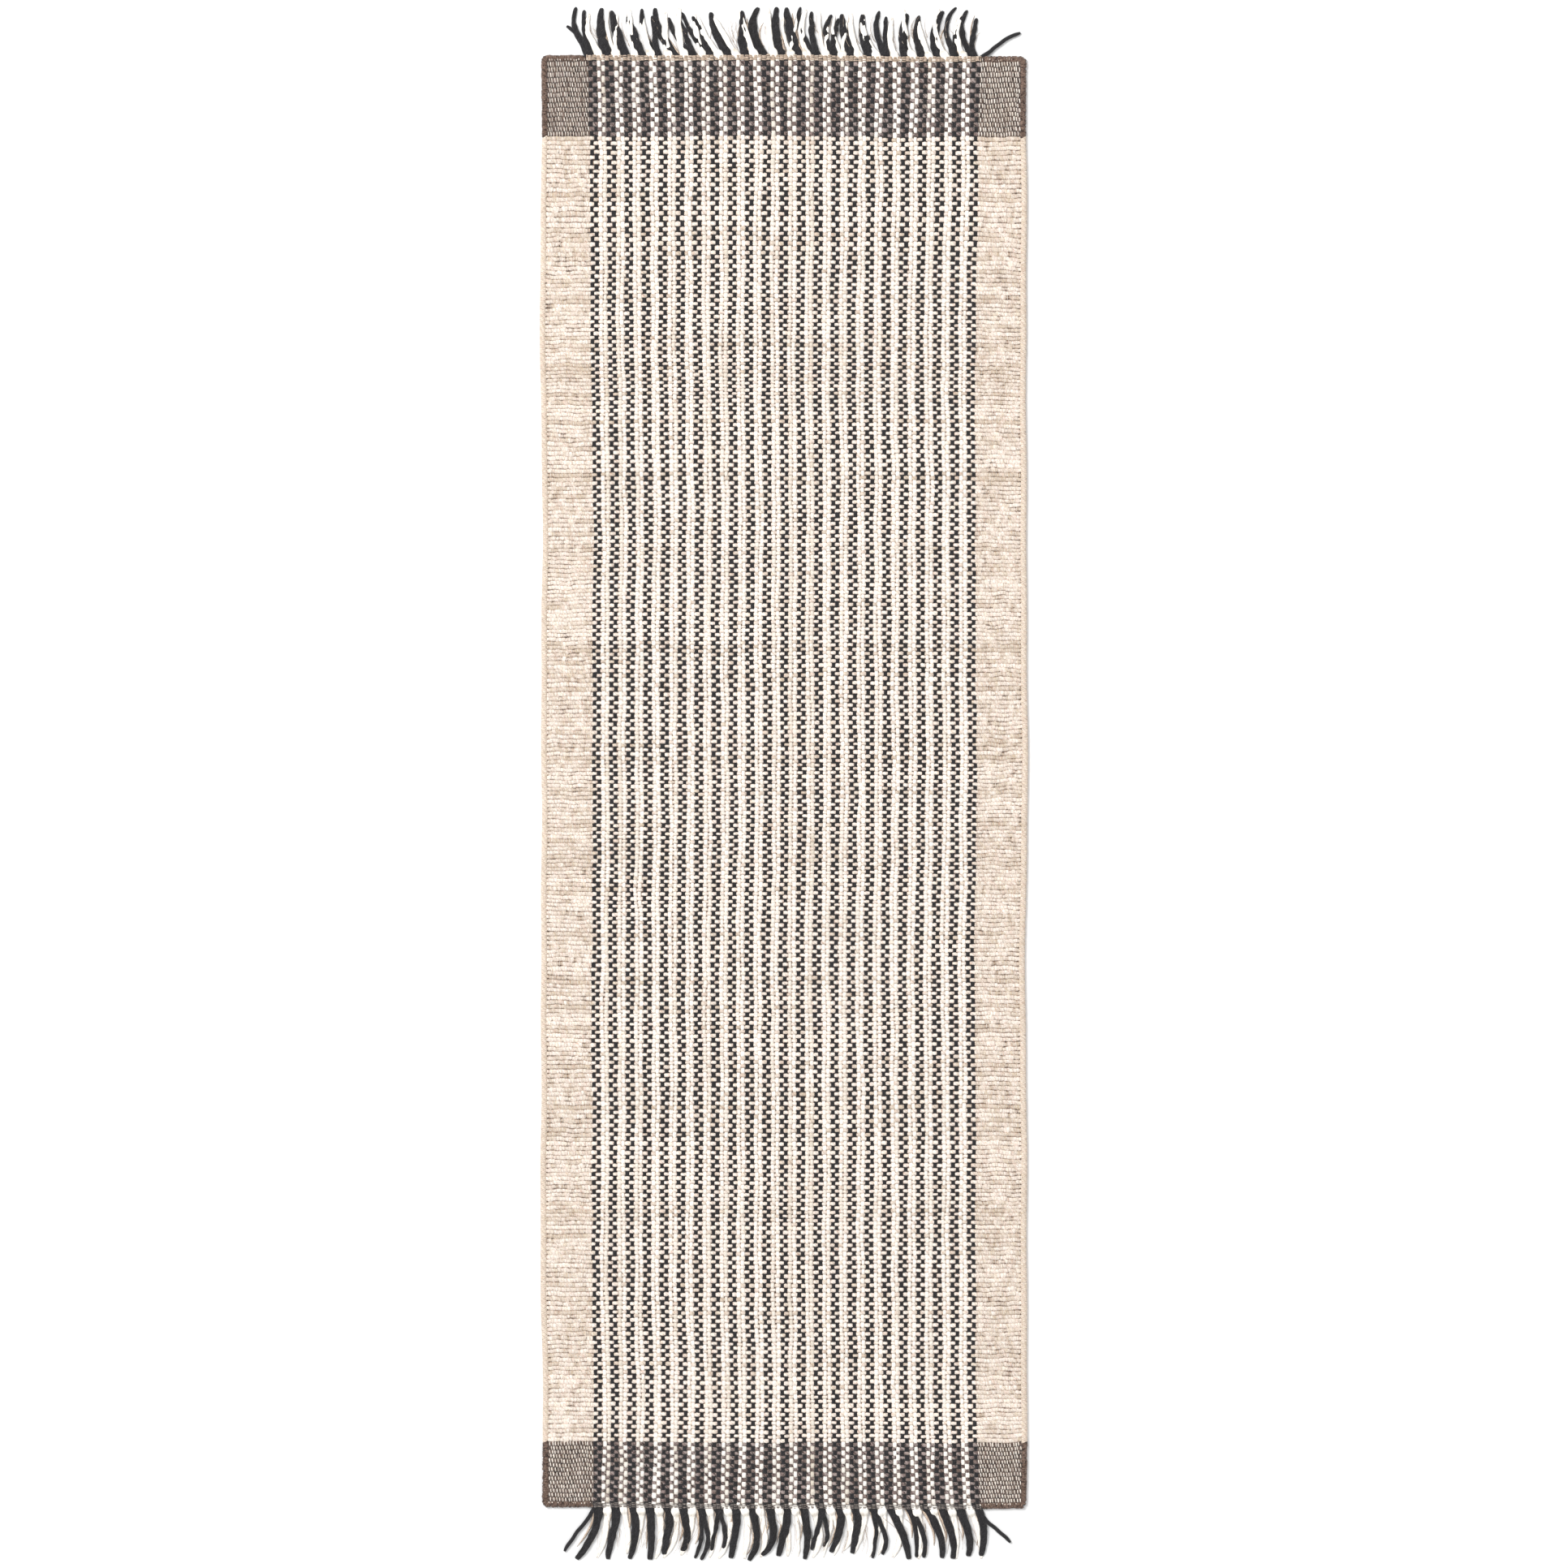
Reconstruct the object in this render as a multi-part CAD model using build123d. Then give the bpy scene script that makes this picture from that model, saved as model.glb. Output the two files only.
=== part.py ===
"""A hand-woven runner rug: striped centre panel, ribbed side borders, dark corner blocks and fringed ends.

Frame: millimetres, +Z up. The origin is the middle of the rug's footprint, on the floor that it lies on.
+X runs across the rug and +Y along it, from the foot end to the head end.

The yarns of a woven cloth pass over and under each other, so each zone of the weave is one closed solid
of the cloth's true outline and thickness. The cloth bends at one line across the middle, the half fold,
so every zone that crosses that line is made as a head piece and a foot piece.
"""

import math
import os

from build123d import *

# Overall size, fringe included
RUG_WIDTH = 762.0
RUG_LENGTH = 2438.0

# The woven cloth and its zones along the length
HEAD_FRINGE_LENGTH = 76.0
FOOT_FRINGE_LENGTH = 82.0
HEAD_BAND_LENGTH = 127.0  # taupe weft, header included
FOOT_BAND_LENGTH = 104.0
HEADER_LENGTH = 9.0  # two rows of twined cord between the cloth and the fringe
TWINING_ROWS = 2
HALF_FOLD_GAP = 0.3  # clearance between the head pieces and the foot pieces

# Zones across the width
BINDING_WIDTH = 10.0  # overcast cord along both long sides and around the corner blocks
BORDER_WIDTH = 70.0

# Thickness
CLOTH_THICKNESS = 7.0
BINDING_THICKNESS = 8.0
HEADER_THICKNESS = 6.0
CORNER_RADIUS = 7.0
BINDING_EDGE_RADIUS = 2.0

# Warp and fringe
WARP_PAIRS = 45  # dark and ivory pairs alternate, and both outer pairs are dark
LOCK_LIFT = 0.3  # the locks lie just clear of the floor
LEAN_POWER = 1.6  # a lock leaves the cloth straight and leans over more towards its tip
TIP_ALLOWANCE = 0.3  # the slanted tip ends this much past its centre line
LOCK_SECTIONS = ((0.0, 9.0, 5.6), (0.2, 12.2, 6.0), (0.5, 9.6, 5.2), (0.8, 5.2, 3.8), (1.0, 1.8, 1.8))
STRAND_SECTIONS = ((0.0, 4.6, 4.4), (0.3, 4.6, 4.4), (0.7, 4.2, 4.0), (1.0, 2.6, 2.6))
STRAND_ROOT_OFFSET = 4.0  # outside the centre panel's edge
STRAND_REACH = {  # how far each one runs along the rug and sideways
    ("head", "left"): (48.0, -38.0),
    ("head", "right"): (43.0, 70.0),
    ("foot", "left"): (75.0, -44.0),
    ("foot", "right"): (59.0, 55.0),
}

# Places worked out from the sizes above
HEAD_TIP_Y = RUG_LENGTH / 2
FOOT_TIP_Y = -RUG_LENGTH / 2
CLOTH_HEAD_Y = HEAD_TIP_Y - HEAD_FRINGE_LENGTH
CLOTH_FOOT_Y = FOOT_TIP_Y + FOOT_FRINGE_LENGTH
FIELD_HEAD_Y = CLOTH_HEAD_Y - HEAD_BAND_LENGTH
FIELD_FOOT_Y = CLOTH_FOOT_Y + FOOT_BAND_LENGTH
OUTER_X = RUG_WIDTH / 2
BORDER_X = OUTER_X - BINDING_WIDTH
PANEL_X = BORDER_X - BORDER_WIDTH
PAIR_PITCH = 2 * PANEL_X / WARP_PAIRS

FIELD_RANGES = {
    "head": (HALF_FOLD_GAP / 2, FIELD_HEAD_Y),
    "foot": (FIELD_FOOT_Y, -HALF_FOLD_GAP / 2),
}
SIDES = {"left": -1, "right": 1}
ENDS = {"head": 1, "foot": -1}


def slab(x_range, y_range, thickness):
    """A flat block of cloth that lies on the floor."""
    width, length = x_range[1] - x_range[0], y_range[1] - y_range[0]
    corner = Pos(x_range[0], y_range[0], 0)
    return corner * Box(width, length, thickness, align=(Align.MIN, Align.MIN, Align.MIN))


def ordered(a, b):
    return (min(a, b), max(a, b))


def centre_panel(end):
    """The striped plain weave between the borders, on one side of the half fold."""
    return slab((-PANEL_X, PANEL_X), FIELD_RANGES[end], CLOTH_THICKNESS)


def border(side, end):
    """The ribbed side border, from the centre panel to the selvedge."""
    return slab(ordered(side * PANEL_X, side * BORDER_X), FIELD_RANGES[end], CLOTH_THICKNESS)


def selvedge(side, end):
    """The overcast cord along a long side, with rounded edges."""
    y_low, y_high = FIELD_RANGES[end]
    section = RectangleRounded(BINDING_WIDTH, BINDING_THICKNESS, 0.45 * BINDING_THICKNESS)
    middle = (side * (BORDER_X + BINDING_WIDTH / 2), y_low, BINDING_THICKNESS / 2)
    plane = Plane(origin=middle, x_dir=(1, 0, 0), z_dir=(0, 1, 0))
    return extrude(plane * section, y_high - y_low)


def band_range(end):
    """Where a taupe end band lies along the rug, without its header."""
    if end == "head":
        return (FIELD_HEAD_Y, CLOTH_HEAD_Y - HEADER_LENGTH)
    return (CLOTH_FOOT_Y + HEADER_LENGTH, FIELD_FOOT_Y)


def end_band(end):
    """The taupe weft band of the centre panel."""
    return slab((-PANEL_X, PANEL_X), band_range(end), CLOTH_THICKNESS)


def corner_block(side, end):
    """The dark corner square beside an end band, inside its binding."""
    return slab(ordered(side * PANEL_X, side * BORDER_X), band_range(end), CLOTH_THICKNESS)


def corner_binding(side, end):
    """The dark overcast binding around the two outer sides of a corner block."""
    field_y = FIELD_HEAD_Y if end == "head" else FIELD_FOOT_Y
    cloth_y = CLOTH_HEAD_Y if end == "head" else CLOTH_FOOT_Y
    outside = slab(ordered(side * PANEL_X, side * OUTER_X), ordered(field_y, cloth_y), BINDING_THICKNESS)
    outer_corner = outside.edges().filter_by(Axis.Z).sort_by(
        lambda edge: abs(edge.center().X) + abs(edge.center().Y)
    )[-1]
    rounded = fillet(outer_corner, CORNER_RADIUS)
    inside = slab(ordered(side * PANEL_X, side * BORDER_X), band_range(end), BINDING_THICKNESS)
    binding = rounded - inside
    rim = [
        edge
        for edge in binding.edges()
        if abs(edge.center().X) > BORDER_X + BINDING_EDGE_RADIUS
        or abs(edge.center().Y) > abs(cloth_y) - BINDING_EDGE_RADIUS
    ]
    long_rim = [edge for edge in rim if edge.length > BINDING_WIDTH and not is_upright(edge)]
    corner_arcs = [edge for edge in rim if edge.geom_type == GeomType.CIRCLE]
    return fillet(long_rim + corner_arcs, BINDING_EDGE_RADIUS)


def is_upright(edge):
    return abs(edge.tangent_at(0.5).Z) > 0.9


def header(end):
    """The rows of twined cord that lock the last pick of an end."""
    row_width = HEADER_LENGTH / TWINING_ROWS
    section = RectangleRounded(row_width, HEADER_THICKNESS, 0.45 * row_width)
    rows = []
    for row in range(TWINING_ROWS):
        inset = (row + 0.5) * row_width
        y = CLOTH_HEAD_Y - inset if end == "head" else CLOTH_FOOT_Y + inset
        plane = Plane(origin=(-PANEL_X, y, CLOTH_THICKNESS / 2), x_dir=(0, 1, 0), z_dir=(1, 0, 0))
        rows.append(extrude(plane * section, 2 * PANEL_X))
    return rows


def lock(root, length, lean, end, sections):
    """A limp lock of yarn: ellipses lofted along a line that leans over as it leaves the cloth."""
    way = ENDS[end]
    reach = length - TIP_ALLOWANCE
    profiles = []
    for share, width, thickness in sections:
        x = root[0] + lean * share**LEAN_POWER
        y = root[1] + way * reach * share
        slope = lean * LEAN_POWER * share ** (LEAN_POWER - 1)
        heading = Vector(slope, way * reach, 0)
        centre = (x, y, LOCK_LIFT + thickness / 2)
        plane = Plane(origin=centre, x_dir=heading.cross(Vector(0, 0, 1)), z_dir=heading)
        profiles.append(plane * Ellipse(width / 2, thickness / 2))
    return loft(profiles)


def fringe_length(end, index):
    """Lock lengths vary along an end, and the longest reaches the rug's full length."""
    longest = HEAD_FRINGE_LENGTH if end == "head" else FOOT_FRINGE_LENGTH
    return longest - 4.0 * (1 - math.cos(1.9 * index))


def tassels(end, first_pair):
    """Every other pair of warps of one end, as separate locks of one colour."""
    cloth_y = CLOTH_HEAD_Y if end == "head" else CLOTH_FOOT_Y
    locks = []
    for pair in range(first_pair, WARP_PAIRS, 2):
        x = -PANEL_X + (pair + 0.5) * PAIR_PITCH
        lean = -9.0 - 3.0 * math.sin(0.35 * pair)
        locks.append(lock((x, cloth_y), fringe_length(end, pair // 2), lean, end, LOCK_SECTIONS))
    return locks


def corner_strands(end):
    """The single dark strands that splay out beside the two outer tassels of an end."""
    cloth_y = CLOTH_HEAD_Y if end == "head" else CLOTH_FOOT_Y
    strands = []
    for side_name, side in SIDES.items():
        reach, lean = STRAND_REACH[end, side_name]
        root = (side * (PANEL_X + STRAND_ROOT_OFFSET), cloth_y)
        strands.append(lock(root, reach, lean, end, STRAND_SECTIONS))
    return strands


def write(node, shape):
    """One STEP file for one node, which may be a group of separate solids."""
    whole = Compound(label=node, children=list(shape)) if isinstance(shape, list) else shape
    whole.label = node
    export_step(whole, os.path.join("parts", f"{node}.step"))


def main():
    os.makedirs("parts", exist_ok=True)
    for end in ENDS:
        write(f"centre_panel_{end}", centre_panel(end))
        write(f"{end}_end_band", end_band(end))
        write(f"{end}_header", header(end))
        write(f"{end}_dark_tassels", tassels(end, 0))
        write(f"{end}_ivory_tassels", tassels(end, 1))
        write(f"{end}_corner_strands", corner_strands(end))
        for side_name, side in SIDES.items():
            write(f"{side_name}_border_{end}", border(side, end))
            write(f"{side_name}_selvedge_{end}", selvedge(side, end))
            write(f"{end}_{side_name}_corner_block", corner_block(side, end))
            write(f"{end}_{side_name}_corner_binding", corner_binding(side, end))


main()
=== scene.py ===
"""A hand-woven runner rug, made yarn by yarn.

Every yarn is a tube that passes over and under the yarns that it crosses, in plain weave: thick dark and
ivory warps in the centre panel, fine cotton warps in the side borders, and beige or taupe weft across the
whole width. Overcast cords bind the sides and the corners, twined threads lock both ends, and the warps' own
ends are the fringe.

Lengths are in metres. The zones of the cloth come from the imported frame.
"""

import math

import bpy
import mathutils
import numpy as np
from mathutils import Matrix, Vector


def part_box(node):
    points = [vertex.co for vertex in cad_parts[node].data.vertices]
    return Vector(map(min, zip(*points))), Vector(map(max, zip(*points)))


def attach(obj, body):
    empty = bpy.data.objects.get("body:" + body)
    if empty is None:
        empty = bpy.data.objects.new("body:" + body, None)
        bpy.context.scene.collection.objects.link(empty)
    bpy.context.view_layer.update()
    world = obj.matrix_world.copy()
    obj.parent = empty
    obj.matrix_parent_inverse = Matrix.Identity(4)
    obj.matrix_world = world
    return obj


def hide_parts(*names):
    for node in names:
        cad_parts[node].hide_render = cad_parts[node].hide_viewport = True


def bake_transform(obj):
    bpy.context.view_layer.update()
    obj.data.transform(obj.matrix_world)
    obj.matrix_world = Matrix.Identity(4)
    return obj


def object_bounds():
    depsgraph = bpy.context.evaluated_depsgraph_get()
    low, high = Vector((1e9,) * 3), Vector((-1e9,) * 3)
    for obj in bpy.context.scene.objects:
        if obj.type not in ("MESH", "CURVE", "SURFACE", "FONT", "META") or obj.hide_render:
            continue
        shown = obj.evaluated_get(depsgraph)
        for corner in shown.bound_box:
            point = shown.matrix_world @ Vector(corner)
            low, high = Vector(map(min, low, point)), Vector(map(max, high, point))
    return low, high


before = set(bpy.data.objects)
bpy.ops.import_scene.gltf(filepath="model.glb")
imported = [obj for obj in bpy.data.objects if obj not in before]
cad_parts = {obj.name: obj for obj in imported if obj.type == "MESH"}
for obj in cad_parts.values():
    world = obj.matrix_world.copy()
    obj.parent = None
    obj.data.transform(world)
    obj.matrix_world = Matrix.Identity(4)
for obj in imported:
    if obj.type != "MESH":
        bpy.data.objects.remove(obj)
cad_box = [list(corner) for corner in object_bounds()]

MM = 0.001
rng = np.random.default_rng(17)

# ---- the cloth's zones, from the frame

PANEL_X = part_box("centre_panel_head")[1].x
BORDER_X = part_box("right_border_head")[1].x
OUTER_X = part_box("right_selvedge_head")[1].x
FIELD_HEAD_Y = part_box("centre_panel_head")[1].y
FIELD_FOOT_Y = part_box("centre_panel_foot")[0].y
BAND_HEAD_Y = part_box("head_end_band")[1].y
BAND_FOOT_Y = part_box("foot_end_band")[0].y
CLOTH_HEAD_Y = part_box("head_header")[1].y
CLOTH_FOOT_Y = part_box("foot_header")[0].y
HEAD_TIP_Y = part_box("head_dark_tassels")[1].y
FOOT_TIP_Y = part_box("foot_dark_tassels")[0].y
MIDDLE_Z = 3.75 * MM  # the cloth's middle height

# Each end of the cloth: the way that its fringe points, where the cloth ends, and the fringe's length
ENDS = {
    "head": (1, CLOTH_HEAD_Y, HEAD_TIP_Y - CLOTH_HEAD_Y),
    "foot": (-1, CLOTH_FOOT_Y, CLOTH_FOOT_Y - FOOT_TIP_Y),
}

# The fold's bend starts at the middle of the rug and ends this far along the half that moves
FOLD_START = (0, 0, 0)
FOLD_END = (0, -26 * MM, 0)
TOP_Z = 8.1 * MM  # just under the fold's hinge line, so that the halves can lie on each other

# ---- the yarns' sizes

WARP_COUNT = 90
BEIGE_PICK = 6.67 * MM
HEAD_TAUPE_PICK = 7.9 * MM
FOOT_TAUPE_PICK = 6.6 * MM
COTTON_PITCH = 2.35 * MM
BEIGE, TAUPE = 0, 1

# Pairs are for the rows of beige weft and the rows of taupe weft. A fill is half the weft's width over its
# row's length, and a swing is how far a yarn's middle goes up and down.
WEFT_FILL = (0.435, 0.45)
WEFT_HALF_HEIGHT = 1.75 * MM
WEFT_SWING = (1.75 * MM, 1.55 * MM)
WARP_HALF_WIDTH = (3.3 * MM, 3.35 * MM)
WARP_HALF_HEIGHT = (1.6 * MM, 1.85 * MM)
WARP_SWING = (1.4 * MM, 1.6 * MM)
BORDER_FILL = 0.57
BORDER_HALF_HEIGHT = (2.3 * MM, 2.0 * MM)
BORDER_SWING = (0.35 * MM, 0.6 * MM)
BORDER_BULGE = 0.12  # how much wider the border's weft is between its fine warps
GRAIN_SWELL = 0.05  # how much wider it is over a fine warp than under one
GRAIN_SPREAD = 0.13  # how unequal its grains are
HEIGHT_SHARE = 0.6  # how much of a yarn's change in width its height follows
GRAIN_HEIGHT_SHARE = 0.9
PINCH_SHIFT = 0.65 * MM  # a fine warp pushes the weft that it crosses towards the foot
COTTON_HALF_WIDTH = (0.42 * MM, 0.86 * MM)
SUNK_COTTON = 0.74  # how much thinner the fine warps are in the head's left corner block, which is darker
COTTON_HALF_HEIGHT = 0.5 * MM
COTTON_SWING = (2.2 * MM, 3.1 * MM)
COTTON_SLANT = (-0.1 * MM, -0.35 * MM)  # how far a fine warp's float leans to the side
COTTON_FLAT = 0.24  # the share of the way to the next row that a fine warp stays up or down at each end
END_PINCH = 0.15  # how much narrower the weft is where it turns under the selvedge
WEFT_TUCK = 2 * MM
HEADER_TUCK = 2 * MM

# How yarns vary along their length: each part's reach in crossings, and its spread
WEFT_UNEVEN = ((9, 0.06), (0, 0.075))
WARP_UNEVEN = ((6, 0.05), (0, 0.07))
COTTON_UNEVEN = ((1, 0.2),)
WEFT_TONE = ((5, 0.12), (0, 0.1))
WARP_TONE = ((5, 0.1),)
HEADER_UNEVEN = ((0, 0.14),)
HEADER_TONE = ((1, 0.15),)

# How whole yarns differ from each other
PICK_SPREAD = 0.04
PICK_TONE_SPREAD = 0.13
WARP_TONE_SPREAD = 0.12
WARP_PLACE_SPREAD = 0.16 * MM
COTTON_PLACE_SPREAD = 0.2 * MM

# ---- the yarns' tone and painted shade

# A tone of 0 is a yarn at its darkest, and 1 at its lightest
PLAIN_TONE = 0.5
BORDER_PAINTED_SHADE = (-0.17, -0.6)  # painted shade: how much darker the weft's tone is in the borders and the corner blocks
BORDER_MOTTLE = 0.08  # how unevenly the weft is coloured in the borders, from grain to grain

# Between these distances from the cloth's middle height, the yarns' colour is painted from shadowed to open
PANEL_SHADE = (0.1 * MM, 2.3 * MM)
BORDER_SHADE = (0.3 * MM, 1.9 * MM)
COTTON_SHADE = (0.2 * MM, 1.8 * MM)
HEADER_SHADE = (0.5 * MM, 2.6 * MM)

# How open the border's rows are painted where they meet, and how the painted dots of shadow at the fine warps
# change that
RIM_OPEN = 0.33
RIM_DEEP = 0.14
RIM_DOT = 0.3
FACE_DOT = 0.5

# ---- the cloth's own shape

END_FLARE = 7.5 * MM  # how far the panel spreads into the corners at the head, and at the foot's right
FLARE_LENGTH = (0.49, 0.16)  # how far from the head's and the foot's end the spreading starts
FLARE_POWER = 1.5

# Slow waves that all yarns share: height in millimetres, radians a metre across and along the rug, and start
SIDEWAYS_WAVES = ((0.9, 0, 5.3, 0.6), (0.7, 0, 13.1, 2.0))
WIDTH_WAVES = ((0.9, 0, 8.7, 1.1), (0.5, 0, 29.0, 0))
LENGTH_WAVES = ((1.3, 6.1, 2.2, 0), (0.7, 17.0, -5.0, 1.0))

# ---- small helpers


def wander(rows, count, reach):
    """Random values with a spread of one that change slowly along each row."""
    kernel = np.hanning(2 * reach + 3)[1:-1]
    kernel /= np.sqrt((kernel**2).sum())
    rough = rng.standard_normal((rows, count + len(kernel) - 1))
    return np.array([np.convolve(row, kernel, mode="valid") for row in rough])


def wander_field(rows, count, row_reach, reach):
    """Random values with a spread of one that change slowly along the rows and from row to row."""
    rough = wander(rows + 2 * row_reach, count, reach)
    kernel = np.hanning(2 * row_reach + 3)[1:-1]
    kernel /= np.sqrt((kernel**2).sum())
    return np.array([np.convolve(column, kernel, mode="valid") for column in rough.T]).T


def varied(rows, count, parts):
    """Random values along each row, added up from parts that are each a reach and a spread."""
    return sum(spread * wander(rows, count, reach) for reach, spread in parts)


def waves(table, x, y):
    return sum(height * np.sin(by_x * x + by_y * y + start) for height, by_x, by_y, start in table)


def settle(points):
    """The cloth isn't perfectly straight: its yarns share a slow drift, and the panel flares at its ends."""
    x, y = points[..., 0].copy(), points[..., 1].copy()
    head_share = np.clip(1 - (CLOTH_HEAD_Y - y) / FLARE_LENGTH[0], 0, 1)
    foot_share = np.clip(1 - (y - CLOTH_FOOT_Y) / FLARE_LENGTH[1], 0, 1) * (x > 0)
    towards_border = np.interp(np.abs(x), (0, PANEL_X, OUTER_X), (0, 1, 0)) * np.sign(x)
    flare = END_FLARE * towards_border * (head_share**FLARE_POWER + foot_share**FLARE_POWER)
    across = waves(SIDEWAYS_WAVES, x, y) + x / OUTER_X * waves(WIDTH_WAVES, x, y)
    points[..., 0] = x + across * MM + flare
    points[..., 1] = y + waves(LENGTH_WAVES, x, y) * MM
    return points


def line_mix(values, left, share):
    """Values given at crossings, for the rings between them."""
    return values[..., left] * (1 - share) + values[..., left + 1] * share


def smooth_mix(values, left, share):
    """Values given at crossings, eased to the rings between them."""
    return line_mix(values, left, (1 - np.cos(np.pi * share)) / 2)


def late(share, flat):
    """A share of the way that stays at its ends for a while: flat is how long, from 0 to 0.5."""
    return np.clip((share - flat) / (1 - 2 * flat), 0, 1)


def rings_between(steps):
    """For each ring along a yarn, the crossing before it and its share of the way to the next one."""
    left = np.concatenate([np.full(n, k) for k, n in enumerate(steps)] + [[len(steps) - 1]])
    share = np.concatenate([np.arange(n) / n for n in steps] + [[1.0]])
    return left.astype(int), share


# ---- meshes

TINY = 1e-9
YARN_OFFSET = 0.37  # so that no two yarns show the same stretch of fibre


def new_object(name, data):
    thing = bpy.data.objects.new(name, data)
    bpy.context.scene.collection.objects.link(thing)
    return thing


def new_mesh_object(name, points, loops, starts, smooth, material):
    mesh = bpy.data.meshes.new(name)
    mesh.vertices.add(len(points))
    mesh.vertices.foreach_set("co", np.ascontiguousarray(points, np.float32).ravel())
    mesh.loops.add(len(loops))
    mesh.loops.foreach_set("vertex_index", loops.astype(np.int32))
    mesh.polygons.add(len(starts))
    mesh.polygons.foreach_set("loop_start", starts.astype(np.int32))
    mesh.polygons.foreach_set("use_smooth", smooth)
    mesh.update(calc_edges=True)
    mesh.validate()
    mesh.materials.append(material)
    return new_object(name, mesh)


def tubes(
    name, centres, half_width, half_height, material,
    sides=6, tone=PLAIN_TONE, turn=14 * MM, facing=(0, 0, 1), open_at=None,
):
    """Closed yarn tubes. centres is yarns by rings by 3, and the halves and the tone are yarns by rings.

    facing is the direction that a yarn's height is measured along, and turn is the length of one twist. Each
    point also keeps where it lies on its straightened yarn, so that fibres and twist follow the yarn, and how
    open it lies, which open_at works out: 0 is down between the yarns and 1 is on the surface. The material
    paints shade over the yarn where it lies shut in.
    """
    yarns, rings = centres.shape[:2]
    tangent = np.gradient(centres, axis=1)
    step = np.linalg.norm(tangent, axis=2, keepdims=True)
    tangent /= np.maximum(step, TINY)
    side = np.cross(tangent, facing)
    side /= np.maximum(np.linalg.norm(side, axis=2, keepdims=True), TINY)
    rise = np.cross(side, tangent)
    angle = 2 * np.pi * np.arange(sides) / sides
    wide = np.broadcast_to(half_width, (yarns, rings))[..., None]
    high = np.broadcast_to(half_height, (yarns, rings))[..., None]
    points = (
        centres[:, :, None]
        + side[:, :, None] * (wide * np.cos(angle))[..., None]
        + rise[:, :, None] * (high * np.sin(angle))[..., None]
    )
    points[..., 2] = np.clip(points[..., 2], 0, TOP_Z)

    ring = np.arange(yarns * rings).reshape(yarns, rings) * sides
    around = np.arange(sides)
    after = (around + 1) % sides
    here, there = ring[:, :-1, None], ring[:, 1:, None]
    quads = np.stack([here + around, here + after, there + after, there + around], axis=-1)
    first_caps = ring[:, 0, None] + around[::-1]
    last_caps = ring[:, -1, None] + around
    loops = np.concatenate([quads.ravel(), first_caps.ravel(), last_caps.ravel()])
    quad_count, cap_count = quads.size // 4, 2 * yarns
    starts = np.concatenate([np.arange(quad_count) * 4, quads.size + np.arange(cap_count) * sides])
    smooth = np.concatenate([np.ones(quad_count, bool), np.zeros(cap_count, bool)])
    piece = new_mesh_object(name, points.reshape(-1, 3), loops, starts, smooth, material)

    along = np.cumsum(step, axis=1) + YARN_OFFSET * np.arange(yarns)[:, None, None]
    twisted = angle + 2 * np.pi * along / turn
    size = (wide + high) / 2
    strand = np.stack(
        [np.broadcast_to(along, twisted.shape), size * np.cos(twisted), size * np.sin(twisted)], axis=-1
    )
    tones = np.broadcast_to(tone, (yarns, rings)).ravel().repeat(sides)
    openness = np.ones(points.shape[:3]) if open_at is None else open_at(points)
    keep(piece, strand, np.clip(tones, 0, 1), np.clip(openness, 0, 1))
    return piece


def cloth_openness(shade):
    """How open woven yarns lie, by their distance from the cloth's middle, for painted shade: yarns near it
    are painted darker. shade is two limits for a ring.
    """
    low, high = (np.asarray(limit)[..., None] for limit in shade)
    return lambda points: (np.abs(points[..., 2] - MIDDLE_Z) - low) / (high - low)


def keep(piece, strand, tones, openness):
    """Stores what a piece's material reads at each of its points."""
    for name, kind, field, values in (
        ("strand", "FLOAT_VECTOR", "vector", strand),
        ("tone", "FLOAT", "value", tones),
        ("open", "FLOAT", "value", openness),
    ):
        kept = piece.data.attributes.new(name, kind, "POINT")
        kept.data.foreach_set(field, np.ascontiguousarray(values, np.float32).ravel())


def hold(piece, slot, *nodes):
    """A piece moves with its half of the rug, or stays put across the fold, and stands for its CAD nodes."""
    reach_y = np.array([corner[1] for corner in piece.bound_box])
    if reach_y.min() >= FOLD_START[1]:
        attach(piece, "head_half")
    elif reach_y.max() <= FOLD_END[1]:
        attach(piece, "foot_half")
    else:
        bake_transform(piece)
    if nodes:
        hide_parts(*nodes)
    return piece


# ---- materials


def colour(red, green, blue):
    """A screen colour from 0 to 255, as the linear colour that shaders take."""
    srgb = np.array([red, green, blue]) / 255
    linear = np.where(srgb <= 0.04045, srgb / 12.92, ((srgb + 0.055) / 1.055) ** 2.4)
    return (*linear, 1.0)


def link(tree, source, target):
    tree.links.new(source, target)


def ramp(tree, factor, stops):
    """A colour ramp node with (position, colour) stops."""
    node = tree.nodes.new("ShaderNodeValToRGB")
    elements = node.color_ramp.elements
    while len(elements) < len(stops):
        elements.new(0.5)
    for element, (position, value) in zip(elements, stops, strict=True):
        element.position = position
        element.color = value
    link(tree, factor, node.inputs["Fac"])
    return node.outputs["Color"]


def mixed(tree, factor, first, second, kind="MIX"):
    node = tree.nodes.new("ShaderNodeMix")
    node.data_type = "RGBA"
    node.blend_type = kind
    for value, socket in ((factor, node.inputs[0]), (first, node.inputs[6]), (second, node.inputs[7])):
        if isinstance(value, bpy.types.NodeSocket):
            link(tree, value, socket)
        else:
            socket.default_value = value
    return node.outputs[2]


def noise(tree, vector, scale, detail=2.0, stretch=(1, 1, 1)):
    mapping = tree.nodes.new("ShaderNodeMapping")
    mapping.inputs["Scale"].default_value = stretch
    link(tree, vector, mapping.inputs["Vector"])
    node = tree.nodes.new("ShaderNodeTexNoise")
    node.inputs["Scale"].default_value = scale
    node.inputs["Detail"].default_value = detail
    link(tree, mapping.outputs["Vector"], node.inputs["Vector"])
    return node.outputs["Fac"]


def attribute(tree, name, output):
    node = tree.nodes.new("ShaderNodeAttribute")
    node.attribute_name = name
    return node.outputs[output]


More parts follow.
